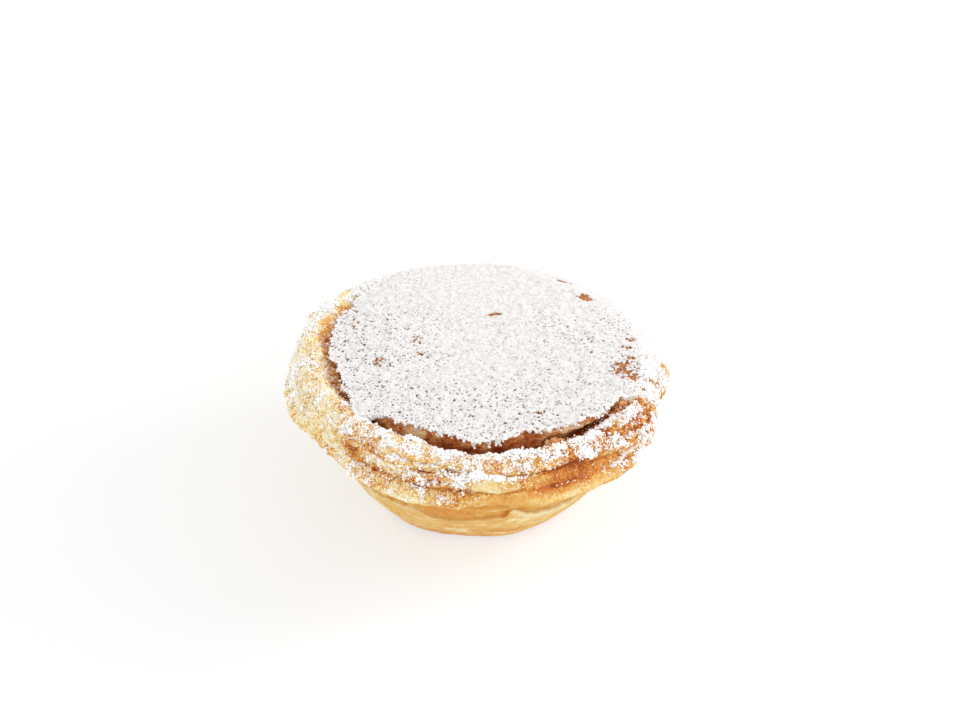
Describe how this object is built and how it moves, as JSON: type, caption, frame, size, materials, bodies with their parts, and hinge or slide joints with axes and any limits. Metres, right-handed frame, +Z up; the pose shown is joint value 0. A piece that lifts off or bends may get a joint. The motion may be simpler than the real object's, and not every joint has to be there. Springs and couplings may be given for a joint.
{
  "type": "bean tart",
  "caption": "Small round tart: a puff pastry case with a flat base and flared flaky rim, and a baked bean filling with a thin sugar-dusted crust.",
  "frame": {"origin": "middle of the flat base, on the surface that the tart stands on", "axes": "+Z up out of the filling's top, -Y towards the front, where the crust comes to its blunt corner, +X to the right seen from the front"},
  "size_m": [0.0788, 0.078, 0.0327],
  "materials": {
    "puff_pastry": "matt baked pastry",
    "dusted_filling": "matt, dusted with icing sugar"
  },
  "bodies": {
    "root": {"pastry_case": "puff_pastry", "bean_filling": "dusted_filling"}
  },
  "joints": []
}
